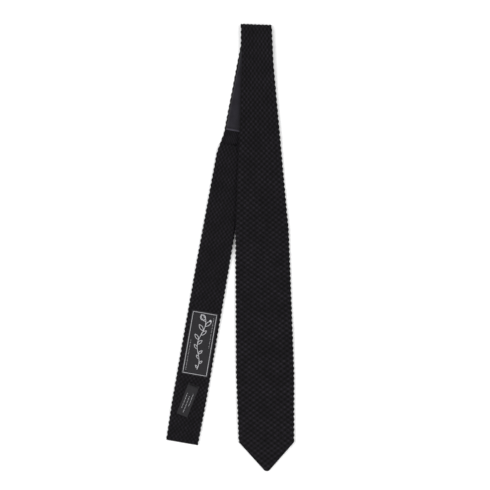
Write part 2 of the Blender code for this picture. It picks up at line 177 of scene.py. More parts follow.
class Side:
    """One side of the tie: its outline, and how its rows of knitting slant."""

    def __init__(self, name, body, pitches):
        self.name, self.body = name, body  # the body that carries it as far down as its crease
        upper_ends, lower_ends = strip_ends(f"{name}_face_knit"), strip_ends(f"{name}_end_face_knit")
        ends = np.concatenate([upper_ends, lower_ends[1:]])
        self.fold_y = ends[0, :, 1].mean()
        crease = self.fold_y - upper_ends[-1, :, 1].mean()
        self.edges = []
        for edge in (ends[:, 0], ends[:, 1]):
            down = self.fold_y - edge[:, 1]
            fine = np.arange(down[0], down[-1], MM / 2)
            across = np.interp(fine, down, edge[:, 0])
            soft = np.where(fine < crease, rounded_off(across, SUPPLE), rounded_off(across, CRISP))
            self.edges.append((fine, np.where(fine < down[-1] - NOSE, soft, across)))
        self.length = self.fold_y - ends[-1, :, 1].mean()
        self.crease = crease
        self.slants = [
            (0.0, self.slope(ends[0])),
            (SLANT_FADE, self.slope(upper_ends[-1])),
            (self.length - END_SLANT[0], self.slope(upper_ends[-1])),
            (self.length - END_SLANT[1], self.slope(ends[-1])),
        ]
        self.pitches = pitches
        self.straight_to = self.fold_y - low(f"{name}_end_back_knit").y

    @staticmethod
    def slope(pair):
        (left, left_y), (right, right_y) = pair
        return (left_y - right_y) / (right - left)

    def ends(self, distance):
        """The left and right points of the rows at these distances."""
        slope = np.interp(distance, *np.array(self.slants).T)
        left, right = (np.interp(distance, *edge) for edge in self.edges)
        centre = (left + right) / 2
        for _ in range(5):
            left = np.interp(distance + (left - centre) * slope, *self.edges[0])
            right = np.interp(distance + (right - centre) * slope, *self.edges[1])
        y = self.fold_y - distance
        return [np.stack([x, y - (x - centre) * slope], axis=-1) for x in (left, right)]

    def row(self, distance):
        """The left and right points of one row."""
        return [points[0] for points in self.ends(np.array([distance]))]

    def repeats(self, distance):
        """How many repeats of the knitting lie between the seam and each distance."""
        fine = np.arange(0.0, self.length + 10 * MM, MM)
        places, pitch = np.array(self.pitches).T
        count = np.cumsum(MM / np.interp(fine, places, pitch))
        return np.interp(distance, fine, count) - np.interp(SEAM_AT, fine, count)

    def rows(self, start, end, per_repeat=ROWS_PER_REPEAT, close_at=()):
        """Distances of the rows from start to end, with more of them round each place in close_at."""
        first, last = self.repeats(np.array([start, end]))
        fine = np.arange(start, end, MM / 4)
        steps = np.arange(round(first * per_repeat), int(last * per_repeat) + 1) / per_repeat
        rows = np.interp(steps, self.repeats(fine), fine)
        rows = rows[(rows > start + MM / 4) & (rows < end - MM / 4)]
        extra = []
        for place, reach, count in close_at:
            rows = rows[abs(rows - place) > reach + MM / 4]
            extra += list(np.linspace(place - reach, place + reach, count))
        extra = [place for place in extra if start < place < end]
        return np.array(sorted([start, *rows, *extra, end]))

    def direction(self, distance):
        """The way down the side at a distance."""
        (a, b), (c, d) = self.row(distance - MM), self.row(distance + MM)
        return Vector((*(c + d - a - b), 0.0)).normalized()


# The knitting is drawn out towards the fold: each pair is a distance and the length of a repeat there
NECK_PITCHES = [(0.0, 9.5 * MM), (0.09, 9.3 * MM), (0.18, 8.5 * MM)]
BLADE = Side("blade", "blade", [*NECK_PITCHES, (0.38, 7.8 * MM), (0.56, 8.2 * MM)])
TAIL = Side("tail", "neck_and_tail", [*NECK_PITCHES, (0.38, 7.9 * MM)])
TUBE_AT = TAIL.fold_y - high("tail_back_knit").y
HEM_AT = TAIL.fold_y - low("neck_satin_tail_side").y
LINING_ENDS = TAIL.fold_y - low("neck_interlining_tail_side").y
TUBE_LINING_AT = TAIL.fold_y - high("tail_interlining").y
SHOULDER_AT = BLADE.straight_to
LINING_MARGIN = high("neck_fold_knit").x - high("neck_fold_interlining").x
TUCKED_IN = LINING_MARGIN + 3 * MM  # the felt stays this far inside the knit, so it never shows at the edges
SATIN_MARGIN = high("neck_fold_knit").x - high("neck_fold_satin").x
FLAT_FROM = joint_place("tail_fold").x - FLAT_LABELS


def floor_ground(plan):
    return np.zeros(plan.shape[:-1])


def blade_ground(plan):
    """Height of the blade side's underside, which lies on the tail and slopes to the floor beside it."""
    down = BLADE.fold_y - plan[..., 1]
    bed = np.interp(down, [0.0, TUBE_AT], [BLADE_LIFT, BED])
    tail_edge = np.interp(down, *TAIL.edges[1])
    past_seam = smoothstep((down - SEAM_AT) / DRAPE_LENGTH)
    past_edge = 1 - smoothstep((plan[..., 0] - tail_edge) / DRAPE_LENGTH) * past_seam
    parted = np.interp(down, *BLADE.edges[0]) - tail_edge
    return bed * past_edge * (1 - smoothstep(parted / BED_LENGTH))


TAIL.ground, BLADE.ground = floor_ground, blade_ground


# --------------------------------------
# Cloth layers as closed skins


def stitch_hollows(wale, repeat):
    """How far the knit dips: small hollows in every wale, staggered by half a repeat from one to the next."""
    lattice = np.cos(pi * (wale - 0.5)) * np.cos(tau * repeat)
    return HOLLOW_DEPTH * (0.5 + 0.5 * lattice) ** 2.2


def rib_grooves(wale, repeat):
    """The wrong side of the knit: a groove between each wale and the next."""
    return RIB_DEPTH * (0.5 + 0.5 * np.cos(tau * wale)) * (1 + 0.2 * np.cos(tau * repeat))


def rounded_section(around, half_width, rounding, half):
    """Places and normals round a flat section with elliptical edges. around runs from 0 at the left edge,
    over the top to 0.5 at the right edge, and back underneath."""
    half_width, rounding, half = (value[:, None] for value in (half_width, rounding, half))
    rounding = np.minimum(rounding, half_width * 0.98)
    arc = pi / 2 * np.sqrt((rounding**2 + half**2) / 2)
    flat = 2 * (half_width - rounding)
    face = 2 * arc + flat
    folded = np.where(around <= 0.5, around, 1 - around)[None, :]
    sign = np.where(around <= 0.5, 1.0, -1.0)[None, :]
    along = folded * 2 * face
    left = np.clip(along / arc, 0, 1) * pi / 2
    right = np.clip((face - along) / arc, 0, 1) * pi / 2
    x = np.clip(along - arc, 0, flat) - (half_width - rounding)
    x = x + rounding * (np.cos(right) - np.cos(left))
    rise = np.sin(np.minimum(left, right))
    normal_x = (np.cos(right) - np.cos(left)) / rounding
    normal_z = sign * rise / half
    size = np.hypot(normal_x, normal_z) + 1e-9
    return x, sign * half * rise, normal_x / size, normal_z / size, face


def place_rows(side, distance, around, layer):
    """Places, wales and repeats for the rows of one layer at these distances."""
    left, right = side.ends(distance)
    span = right - left
    width = np.hypot(*span.T)
    unit = span / width[:, None]
    margin, rounding, half = layer["margin"](distance), layer["rounding"](distance), layer["half"](distance)
    half_width = np.maximum(width / 2 - margin, 0.05 * MM)
    x, z, normal_x, normal_z, face = rounded_section(around, half_width, rounding, half)
    widest = np.maximum(face, layer["pattern_face"])
    middle = np.where(around <= 0.5, 0.25, 0.75)[None, :]
    wale = WALES * ((around[None, :] - middle) * face / widest + middle - 0.25)
    repeat = np.repeat(side.repeats(distance)[:, None], len(around), axis=1)
    inset = half_width[:, None] - abs(x)
    dip, ribs_and_painted_highlight = layer["relief"](wale, repeat, normal_z, distance[:, None])
    past = distance[:, None] - side.straight_to
    dip = dip * np.where(past > 0, smoothstep(inset / POINT_EDGE), 1.0)
    sway = layer["scallop"] * np.cos(tau * repeat) * (1 - smoothstep(past / POINT_EDGE))
    sway = sway * smoothstep((side.length - distance[:, None]) / (2 * POINT_EDGE))
    plan = (left + right)[:, None, :] / 2 + unit[:, None, :] * (x - normal_x * dip - sway)[..., None]
    height = side.ground(plan) + layer["middle"](distance[:, None], inset) + z - normal_z * dip
    return np.concatenate([plan, height[..., None]], axis=-1), wale, repeat, ribs_and_painted_highlight


def points_of(mesh):
    points = np.zeros(len(mesh.vertices) * 3)
    mesh.vertices.foreach_get("co", points)
    return points.reshape(-1, 3)


def placed(name, mesh):
    """Puts a mesh in the scene, riding the gentle waves of cloth that has been laid down by hand."""
    spots = points_of(mesh)
    x, y = spots[:, 0], spots[:, 1]
    wave = 0.5 + 0.3 * np.sin(tau * y / WAVE + 9 * x) + 0.2 * np.sin(tau * y / (0.57 * WAVE) - 23 * x + 1.0)
    pressed = smoothstep((x - FLAT_FROM) / WAVE_FADE)  # the tail lies flat under its labels
    spots[:, 2] += WAVE_HEIGHT * wave * smoothstep((BLADE.fold_y - y) / WAVE) * pressed
    mesh.vertices.foreach_set("co", spots.ravel())
    return new_object(name, mesh)


def skin(name, places, wale, repeat, ribs_and_painted_highlight, material):
    """A closed skin through rows of places that run round a section."""
    count, columns = places.shape[0], places.shape[1] - 1
    builder = bmesh.new()
    bmesh.ops.create_grid(builder, x_segments=columns, y_segments=count - 1, size=0.5)
    mesh = mesh_from(builder, name, material)
    grid = points_of(mesh)
    column = np.rint((grid[:, 0] + 0.5) * columns).astype(int)
    row = np.rint((grid[:, 1] + 0.5) * (count - 1)).astype(int)
    mesh.vertices.foreach_set("co", places[row, column].ravel())
    # the face attribute: the wrong side of a single knit layer, and on the satin the painted highlight along
    # its hem
    mesh.attributes.new("face", "FLOAT", "POINT").data.foreach_set("value", ribs_and_painted_highlight[row, column])
    corner = np.zeros(len(mesh.loops), int)
    mesh.loops.foreach_get("vertex_index", corner)
    stitches = np.stack([wale[row, column], repeat[row, column]], axis=-1)[corner]
    mesh.uv_layers.new(name="stitches").data.foreach_set("uv", stitches.ravel())
    builder = bmesh.new()
    builder.from_mesh(mesh)
    bmesh.ops.remove_doubles(builder, verts=builder.verts, dist=SURE)
    open_edges = [edge for edge in builder.edges if edge.is_boundary]
    for face in builder.faces:
        face.smooth = True
    for edge in open_edges:
        edge.smooth = False
    bmesh.ops.holes_fill(builder, edges=open_edges, sides=0)
    long_faces = [face for face in builder.faces if len(face.verts) > 4]
    bmesh.ops.triangulate(builder, faces=long_faces)
    bmesh.ops.recalc_face_normals(builder, faces=builder.faces)
    builder.to_mesh(mesh)
    builder.free()
    return placed(name, mesh)


def circuit(columns):
    return np.linspace(0.0, 1.0, columns + 1)


def along_side(name, side, distance, columns, layer, material):
    return skin(name, *place_rows(side, distance, circuit(columns), layer), material)


def over_fold(columns, turn_steps, layers):
    """A layer that comes up the tail side, turns over at the neck and goes down the blade side."""
    around = circuit(columns)
    tail_layer, blade_layer = layers
    flat = np.linspace(SEAM_AT, 0.0, 2 * ROWS_PER_REPEAT + 1)
    under, wale, _, ribs_and_painted_highlight = place_rows(TAIL, flat, around, tail_layer)
    over = place_rows(BLADE, flat[::-1], 1 - around, blade_layer)[0]
    rows = [under]
    left, right = TAIL.row(0.0)
    run_x, run_y = (right - left) / np.hypot(*(right - left))
    outward = np.array([-run_y, run_x, 0.0])  # square to the fold line, away from the two sides
    centre = np.array([0.0, 0.0, FOLD_CENTRE])
    start, finish = under[-1] - centre, over[0] - centre
    for share in np.arange(1, turn_steps) / turn_steps:
        angle = pi * share
        radius = -start[:, 2:] * (1 - share) + finish[:, 2:] * share
        base = (start * (1 - share) + finish * share) * [1, 1, 0]
        turned = base + radius * (outward * sin(angle) - [0, 0, cos(angle)])
        rows.append((turned + centre)[None])
    rows.append(over)
    places = np.concatenate(rows)
    count = len(places)
    steps = np.hypot(*np.moveaxis(np.diff(places[:, columns * 3 // 4], axis=0)[:, 1:], -1, 0))
    path = np.concatenate([[0.0], np.cumsum(steps)])
    repeat = np.repeat((path / path[-1] * FOLD_REPEATS)[:, None], columns + 1, axis=1)
    wale, ribs_and_painted_highlight = (np.repeat(values[:1], count, axis=0) for values in (wale, ribs_and_painted_highlight))
    return places, wale, repeat, ribs_and_painted_highlight


def constant(value):
    return lambda distance: np.full(np.shape(distance), value)


def no_relief(wale, repeat, normal_z, distance):
    return np.zeros(wale.shape), np.zeros(wale.shape)


# The knit's layers. A tube's back layer begins at the mouth, and a single layer runs from there to the fold


def tube_share(distance):
    return smoothstep((distance - TUBE_AT + MOUTH / 4) / MOUTH)


def closing(distance, length, roll):
    """1 along a side, falling in a quarter round to nearly nothing at its end."""
    into = np.clip((distance - (length - roll)) / roll, 0.0, 0.995)
    return np.sqrt(1 - into**2)


def knit_relief(ribbed_sign):
    """Hollows on both faces of the knit. On a single layer the wrong side has ribs instead."""

    def relief(wale, repeat, normal_z, distance):
        hollows = stitch_hollows(wale, repeat)
        grooves = rib_grooves(wale, repeat)
        wrong_side = (1 - tube_share(distance)) * smoothstep(ribbed_sign * normal_z * 2)
        return hollows * (1 - wrong_side) + grooves * wrong_side, wrong_side

    return relief


def tail_middle(distance, inset=None):
    return (KNIT + (TUBE - KNIT) * tube_share(distance)) / 2


def tail_half(distance):
    return tail_middle(distance) * closing(distance, TAIL.length, END_ROLL)


def knit_rounding(distance):
    return LAYER_ROUNDING + (TUBE_ROUNDING - LAYER_ROUNDING) * tube_share(distance)


FACE_OFFSETS = [high("neck_fold_knit").z - KNIT - BLADE_LIFT, TUBE - KNIT]  # at the fold and at the tube
TIP_RISE = KNIT + 0.1 * MM  # the back layer ends at the shoulders, and a satin facing takes its place
TIP_DROP = low("blade_tip_facing").z


def face_offset(distance):
    """How far the face knit is above the blade side's underside on the neck."""
    return np.interp(distance, [0.0, TUBE_AT], FACE_OFFSETS)


def tip_fall(distance):
    """How far the pointed tip has come down to lie flat."""
    return TIP_DROP * smoothstep((distance - SHOULDER_AT) / TIP_REACH)


def blade_bottom(distance):
    """Underside of the knit above the blade side's own ground."""
    neck = face_offset(distance)
    tube = TIP_RISE * smoothstep((distance - SHOULDER_AT) / TIP_EASE) - tip_fall(distance)
    return neck * (1 - tube_share(distance)) + tube * tube_share(distance)


def blade_top(distance):
    neck = face_offset(distance) + KNIT
    tube = TUBE - tip_fall(distance)
    return neck * (1 - tube_share(distance)) + tube * tube_share(distance)


def blade_half(distance):
    return (blade_top(distance) - blade_bottom(distance)) / 2 * closing(distance, BLADE.length, END_ROLL)


def blade_middle(distance, inset):
    return (blade_top(distance) + blade_bottom(distance)) / 2


def layer(half, middle, margin=0.0, rounding=LAYER_ROUNDING, relief=no_relief, scallop=0.0):
    """How a layer of cloth is made up: half its thickness, the height of its middle, its margin and edge."""
    made = {"middle": middle, "relief": relief, "scallop": scallop, "pattern_face": 0.0}
    for name, value in (("half", half), ("margin", margin), ("rounding", rounding)):
        made[name] = value if callable(value) else constant(value)
    return made


def shoulder_face():
    """Length of the knit's face from edge to edge at the shoulders, where the tip starts."""
    left, right = BLADE.row(SHOULDER_AT)
    sizes = np.hypot(*(right - left)) / 2, TUBE_ROUNDING, TUBE / 2
    return float(rounded_section(np.array([0.0]), *(np.array([size]) for size in sizes))[4][0, 0])


TAIL_KNIT = layer(tail_half, tail_middle, 0.0, knit_rounding, knit_relief(1), SCALLOP)
BLADE_KNIT = layer(blade_half, blade_middle, 0.0, knit_rounding, knit_relief(-1), SCALLOP)


# --------------------------------------
# Materials


def hex_colour(code):
    """An sRGB hex colour as linear values."""
    parts = [int(code[place:place + 2], 16) / 255 for place in (0, 2, 4)]
    return (*[part / 12.92 if part <= 0.04045 else ((part + 0.055) / 1.055) ** 2.4 for part in parts], 1.0)


def set_inputs(tree, node, inputs):
    """Each input is a value or another node's output to link."""
    for socket, value in inputs.items():
        if isinstance(value, bpy.types.NodeSocket):
            tree.links.new(value, node.inputs[socket])
        else:
            node.inputs[socket].default_value = value


def add(tree, kind, inputs=None, **settings):
    """Adds a node with its settings and links, and gives its outputs."""
    made = tree.nodes.new(kind)
    for name, value in settings.items():
        setattr(made, name, value)
    set_inputs(tree, made, inputs or {})
    return made.outputs


def maths(tree, operation, *values):
    return add(tree, "ShaderNodeMath", dict(enumerate(values)), operation=operation)[0]


def noise(tree, place, size, detail=2.0):
    """Soft random patches of about this size."""
    return add(tree, "ShaderNodeTexNoise", {"Vector": place, "Scale": 1 / size, "Detail": detail})[0]


def spread(tree, value, start, end, first=0.0, last=1.0):
    return add(tree, "ShaderNodeMapRange", {0: value, 1: start, 2: end, 3: first, 4: last})[0]


def blended(tree, share, *colours):
    """A colour this share of the way between two, given as hex codes or as another node's colour."""
    first, second = (hex_colour(colour) if isinstance(colour, str) else colour for colour in colours)
    return add(tree, "ShaderNodeMix", {0: share, 6: first, 7: second}, data_type="RGBA")[2]


def new_material(name):
    """A material, its node tree, and the object's own coordinates in metres."""
    made = bpy.data.materials.new(name)
    made.use_nodes = True
    return made, made.node_tree, add(made.node_tree, "ShaderNodeTexCoord")["Object"]


def surface(tree, colour, height, depth, strength, roughness, shine):
    """Joins a cloth's colour and relief to its shader."""
    bump = add(tree, "ShaderNodeBump", {"Height": height, "Distance": depth, "Strength": strength})[0]
    shader = tree.nodes["Principled BSDF"]
    inputs = {"Base Color": colour, "Normal": bump, "Roughness": roughness, "Specular IOR Level": shine}
    set_inputs(tree, shader, inputs)
    return shader


# Black silk takes its tone from how much light each part of a stitch catches
YARN_CREST = "1D1A20"
YARN_BODY = "131115"
YARN_SHADE = "0E0C0F"
YARN_HOLLOW = "020202"
YARN_STOPS = ((0.30, YARN_BODY), (0.62, YARN_SHADE))
PLIES_PER_REPEAT = 7  # plies of 1.1 mm, coarser than real yarn so that they show
PLY_SLANT = 2.2  # plies that a slanting ply crosses on its way over half a wale
LOOP_SIZE = 1 / 1.7  # patches of tone, in stitches


def silk_knit():
    """Spun silk in a staggered rack knit: matte, with light caught on the yarn and none in the hollows."""
    material, tree, here = new_material("black silk knit")
    uv = add(tree, "ShaderNodeUVMap", uv_map="stitches")[0]
    place = add(tree, "ShaderNodeSeparateXYZ", {0: uv})
    wale, repeat = place[0], place[1]
    across = maths(tree, "COSINE", maths(tree, "MULTIPLY_ADD", wale, pi, -pi / 2))
    along = maths(tree, "COSINE", maths(tree, "MULTIPLY", repeat, tau))
    lattice = maths(tree, "MULTIPLY", across, along)
    ribs = maths(tree, "COSINE", maths(tree, "MULTIPLY", wale, tau))
    wrong_side = add(tree, "ShaderNodeAttribute", attribute_name="face")["Fac"]
    pattern = add(tree, "ShaderNodeMix", {0: wrong_side, 2: lattice, 3: ribs}, data_type="FLOAT")[0]
    yarn = add(tree, "ShaderNodeValToRGB", {0: spread(tree, pattern, -0.9, 0.9)})[0]
    ramp = yarn.node.color_ramp.elements
    ramp[0].color, ramp[1].color = hex_colour(YARN_CREST), hex_colour(YARN_HOLLOW)
    for position, colour in YARN_STOPS:
        ramp.new(position).color = hex_colour(colour)
    tone = maths(tree, "MULTIPLY", noise(tree, here, 22 * MM, 3.0), noise(tree, uv, LOOP_SIZE, 1.0))
    tone = spread(tree, tone, 0.1, 0.4, 0.6, 1.5)
    # the plies slant one way and the other in each wale
    slant = maths(tree, "MULTIPLY", maths(tree, "PINGPONG", wale, 0.5), PLY_SLANT * tau)
    ply = maths(tree, "SINE", maths(tree, "MULTIPLY_ADD", repeat, PLIES_PER_REPEAT * tau, slant))
    tone = maths(tree, "MULTIPLY_ADD", ply, 0.22, tone)
    colour = add(tree, "ShaderNodeVectorMath", {0: yarn, 3: tone}, operation="SCALE")[0]
    fuzz = noise(tree, here, 0.5 * MM)
    relief = maths(tree, "MULTIPLY_ADD", ply, 0.5, fuzz)
    surface(tree, colour, relief, 0.22 * MM, 0.9, spread(tree, fuzz, 0.0, 1.0, 0.5, 0.75), 0.09)
    return material


def silk_satin():
    """Warp-faced satin: long smooth floats down the strip give it a soft sheen across them."""
    material, tree, here = new_material("black silk satin")
    uv = add(tree, "ShaderNodeUVMap", uv_map="stitches")[0]
    # the floats are stretched noise, 0.4 mm wide and some 6 mm long
    stretched = add(tree, "ShaderNodeMapping", {"Vector": uv, "Scale": (7.0, 1.4, 1.0)})[0]
    floats = noise(tree, stretched, 1.0, 3.0)
    tone = spread(tree, maths(tree, "MULTIPLY", noise(tree, here, 16 * MM), floats), 0.12, 0.4)
    # painted highlight: the top of the fold along the hem is painted lighter, in place of the light its
    # rounded edge catches
    hem_highlight = add(tree, "ShaderNodeAttribute", attribute_name="face")["Fac"]
    colour = blended(tree, hem_highlight, blended(tree, tone, "18161B", "25232A"), "3C3942")
    shader = surface(tree, colour, floats, 0.09 * MM, 0.6, 0.38, 0.16)
    shader.inputs["Anisotropic"].default_value = 0.4
    return material


def wool_felt():
    """Brushed wool interlining: undyed, hairy and quite without shine."""
    material, tree, here = new_material("wool interlining")
    hair = noise(tree, here, 1.2 * MM, 5.0)
    surface(tree, blended(tree, hair, "A79F8C", "CFC8B8"), hair, 0.2 * MM, 0.7, 0.95, 0.15)
    return material


def sewing_thread(name, dark, light):
    """Twisted polyester sewing thread, painted darker in the grooves of its twist as painted shade, and
    lighter on each turn.
    """
    material, tree, here = new_material(name)
    wave = {"Vector": here, "Scale": 1 / (3 * MM), "Distortion": 1.0}
    twist = add(tree, "ShaderNodeTexWave", wave, bands_direction="DIAGONAL")[1]
    surface(tree, blended(tree, twist, dark, light), twist, 0.05 * MM, 0.6, 0.55, 0.12)
    return material


WEAVE = 0.5 * MM  # a label's threads, drawn coarser than real so that they show


def damask(name, dark, light):
    """Fine damask label weave: crossed threads with a little gloss, mottled where the yarn is uneven."""
    material, tree, here = new_material(name)
    turned = add(tree, "ShaderNodeMapping", {"Vector": here, "Rotation": (0.0, 0.0, LABEL_TURN)})[0]
    place = add(tree, "ShaderNodeSeparateXYZ", {0: turned})
    waves = [maths(tree, "SINE", maths(tree, "MULTIPLY", place[axis], tau / WEAVE)) for axis in (0, 1)]
    weave = maths(tree, "MULTIPLY", *waves)
    tone = maths(tree, "MULTIPLY_ADD", weave, 0.25, noise(tree, here, 2.5 * MM, 4.0))
    surface(tree, blended(tree, tone, dark, light), weave, 0.05 * MM, 0.5, 0.6, 0.12)
    return material


def paper_floor():
    """Matte white paper sweep, so even that it shows only the tie's own shadow."""
    material, tree, here = new_material("white paper")
    colour = blended(tree, noise(tree, here, 4 * MM), "F8F8F8", "FCFCFC")
    set_inputs(tree, tree.nodes["Principled BSDF"], {"Base Color": colour, "Roughness": 0.9})
    return material


# --------------------------------------
# Labels and stitches


def block_place(node):
    """The middle of a rectangular node's underside, its unit vectors across and along, and its size."""
    spots = {(round(v.co.x, 5), round(v.co.y, 5)) for v in frame["nodes"][node].data.vertices}
    middle = np.array(sorted(spots)).mean(axis=0)
    corners = np.array(sorted(spots, key=lambda spot: atan2(spot[1] - middle[1], spot[0] - middle[0])))
    sides = np.roll(corners, -1, axis=0) - corners
    lengths = np.hypot(*sides.T)
    long_side = sides[np.argmax(lengths)] / lengths.max()
    long_side = long_side if long_side[1] > 0 else -long_side
    along = Vector((*long_side, 0.0))
    across = along.cross(Vector((0, 0, 1)))
    size = (lengths.min(), lengths.max(), high(node).z - low(node).z)
    return Vector((*middle, low(node).z)), across, along, size


LABEL_ALONG = block_place("brand_label")[2]
LABEL_TURN = atan2(LABEL_ALONG.x, LABEL_ALONG.y)


def block_matrix(node):
    middle, across, along, _ = block_place(node)
    columns = [across, along, Vector((0, 0, 1))]
    return Matrix.Translation(middle) @ Matrix(columns).transposed().to_4x4()


def free_end_lift(along, across, lift):
    """How far a label has curled up at a place. Both shares run from -1 to 1, and -1 is the free end."""
    return lift * max(0.0, -along) ** 3 * (0.7 + 0.3 * across)


def label_cloth(name, node, material, cuts, ripple=0.0, lift=0.0):
    """A woven label, with soft edges and a ripple where it rides over the stitches under it."""
    _, _, _, (width, length, thick) = block_place(node)
    builder = bmesh.new()
    bmesh.ops.create_grid(builder, x_segments=cuts[0], y_segments=cuts[1], size=0.5)
    bmesh.ops.scale(builder, vec=(width, length, 1.0), verts=builder.verts)
    thickened = bmesh.ops.extrude_face_region(builder, geom=builder.faces[:])["geom"]
    raised = [item for item in thickened if isinstance(item, bmesh.types.BMVert)]
    bmesh.ops.translate(builder, verts=raised, vec=(0, 0, thick))
    rim = [edge for edge in builder.edges if edge.calc_face_angle(0.0) > 1.0 and edge.verts[0].co.z > 0]
    soft = thick * LABEL_SOFTNESS
    bmesh.ops.bevel(builder, geom=rim, offset=soft, affect="EDGES", segments=2, profile=0.5, material=-1)
    for vert in builder.verts:
        across, along = vert.co.x / (width / 2), vert.co.y / (length / 2)
        uneven = sin(along * 9.0 + across * 2.0) * sin(across * 5.0 + 1.0)
        vert.co.z += ripple * uneven + free_end_lift(along, across, lift)
    bmesh.ops.recalc_face_normals(builder, faces=builder.faces)
    bmesh.ops.transform(builder, matrix=block_matrix(node), verts=builder.verts)
    mesh = mesh_from(builder, name, material)
    mesh.shade_smooth()
    return placed(name, mesh)


def threads(name, lines, radius, material, matrix=None, closed=False):
    """Threads through lists of points, as one mesh."""
    curve = bpy.data.curves.new(name, "CURVE")
    curve.dimensions = "3D"
    curve.bevel_depth = radius
    curve.bevel_resolution = 1
    curve.use_fill_caps = not closed
    for line in lines:
        spline = curve.splines.new("POLY")
        spline.points.add(len(line) - 1)
        for point, place in zip(spline.points, line):
            point.co = (*place, 1.0)
        spline.use_cyclic_u = closed
    drawn = new_object(name, curve)
    bpy.context.view_layer.update()
    mesh = bpy.data.meshes.new_from_object(drawn.evaluated_get(bpy.context.evaluated_depsgraph_get()))
    bpy.data.objects.remove(drawn)
    if matrix:
        mesh.transform(matrix)
    mesh.name = name
    mesh.shade_smooth()
    mesh.materials.clear()
    mesh.materials.append(material)
    return placed(name, mesh)


def stitch(start, end, rise):
    """One stitch: down through the cloth at both ends and lying on it between."""
    start, end = Vector(start), Vector(end)
    up = Vector((0, 0, rise))
    near, middle, far = (start.lerp(end, share) for share in (0.15, 0.5, 0.85))
    return [start - up, near, middle + up * 0.3, far, end - up]


# --------------------------------------
# The tie, piece by piece


def finish_piece(made, replaced=(), body=None):
    """Hides the frame's nodes that the piece stands for, and attaches it to the body it rides on if there is
    only one.
    """
    if replaced:
        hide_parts(*replaced)
    if body:
        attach(made, body)
    return made


def blend_at_crease(made, side):
    """Bakes the piece's placement into its mesh. The way down its side at the crease is worked out but not
    used.
    """
    way = side.direction(side.crease) * CREASE_REACH
    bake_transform(made)


def widths_along(side, start, end):
    left, right = side.ends(np.linspace(start, end, 200))
    return np.hypot(*(right - left).T)


def declare_strip(side, start, end, margin):
    """Works out a strip's widths along its length, less its margins."""
    widths = widths_along(side, start, end) - 2 * margin


def make_turn(name, columns, rows, layers, material, slot, node, margin, middle, rests_on):
    """One layer's turn over the neck fold. middle, the height of the layer's middle on the tail side, is not
    used.
    """
    fold = skin(name, *over_fold(columns, rows, layers), material)
    finish_piece(fold, [node])
    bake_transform(fold)
    width = float(widths_along(TAIL, 0.0, SEAM_AT).max()) - 2 * margin


def finish_knit(made, side):
    parts = ("face_knit", "back_knit", "end_face_knit", "end_back_knit")
    finish_piece(made, [f"{side.name}_{part}" for part in parts])
    blend_at_crease(made, side)
    declare_strip(side, SEAM_AT, side.length, 0.0)


def make_knit(knit):
    columns = WALES * COLUMNS_PER_WALE
    mouth = (TUBE_AT + MOUTH / 4, MOUTH * 0.75, 11)
    rows = TAIL.rows(SEAM_AT, TAIL.length - 0.01 * MM, close_at=[mouth, (TAIL.length, END_ROLL, 13)])
    finish_knit(along_side("tail_knit", TAIL, rows, columns, TAIL_KNIT, knit), TAIL)

    close_at = [mouth, (SHOULDER_AT + MM, 2 * MM, 7), (BLADE.length, 7 * MM, 41)]
    rows = BLADE.rows(SEAM_AT, BLADE.length, close_at=close_at)
    whole_side = place_rows(BLADE, rows, circuit(columns), BLADE_KNIT)
    # the tip's wales run straight on down, so that the slanting edges cut across them
    tip = rows > SHOULDER_AT
    with_tip = dict(BLADE_KNIT, pattern_face=shoulder_face())
    for whole, part in zip(whole_side, place_rows(BLADE, rows[tip], circuit(columns), with_tip)):
        whole[tip] = part
    finish_knit(skin("blade_knit", *whole_side, knit), BLADE)

    turn = ("neck_fold_knit_turn", columns, KNIT_TURN, (TAIL_KNIT, BLADE_KNIT), knit)
    make_turn(*turn, "black_silk_knit", "neck_fold_knit", 0.0, KNIT / 2, "floor")


def lining_layer(side):
    """The wool inside, on its own between the knit's layers or under the satin."""
    half = (LINING[1] - LINING[0]) / 2

    def middle(distance, inset):
        if side is TAIL:
            return sum(LINING) / 2
        neck = FACE_OFFSETS[0] - (LINING[0] - KNIT) - half
        share_down = smoothstep((distance - TUBE_AT * 0.5) / (TUBE_AT * 0.5))
        return neck + (sum(LINING) / 2 - neck) * share_down - tip_fall(distance)

    return layer(half, middle, TUCKED_IN, FELT_ROUNDING)


def make_interlining(felt):
    layers = {TAIL: lining_layer(TAIL), BLADE: lining_layer(BLADE)}
    columns = 28
    for side, short in ((TAIL, 4 * MM), (BLADE, 12 * MM)):
        neck = f"neck_interlining_{side.name}"
        tube_nodes = [f"{side.name}_interlining", f"{side.name}_end_interlining"]
        for name, start, end, nodes, body in (
            (neck, SEAM_AT, LINING_ENDS, [f"{neck}_side"], side.body),
            (f"{side.name}_interlining_cloth", TUBE_LINING_AT, side.length - short, tube_nodes, None),
        ):
            made = along_side(name, side, side.rows(start, end, 2), columns, layers[side], felt)
            finish_piece(made, nodes, body)
            if body is None:
                blend_at_crease(made, side)
            declare_strip(side, start, end, TUCKED_IN)
    turn = ("neck_interlining_turn", columns, LINING_TURN, (layers[TAIL], layers[BLADE]), felt)
    rest = (TUCKED_IN, sum(LINING) / 2, "neck_fold_knit_turn")
    make_turn(*turn, "wool_interlining", "neck_fold_interlining", *rest)


SATIN_THICK = SATIN[1] - SATIN[0]
SATIN_EDGE = 1.9 * MM  # width over which the strip comes some of the way down to the knit at each side
SATIN_DROP = 0.45
HEM_STAND = 0.45 * MM  # how far the rolled hem stands off the knit
FACING_MARGIN = 3 * MM


def satin_bed(distance, inset):
    """How far the satin has come down from the interlining to the knit: 0 in the middle, 1 at its edges."""
    sides = 1 - smoothstep(inset / SATIN_EDGE)
    hem = smoothstep((distance - LINING_ENDS + 2 * MM) / (5 * MM))
    at_fold = smoothstep((distance - 2 * MM) / (12 * MM))
    return np.maximum(SATIN_DROP * sides * at_fold, hem)


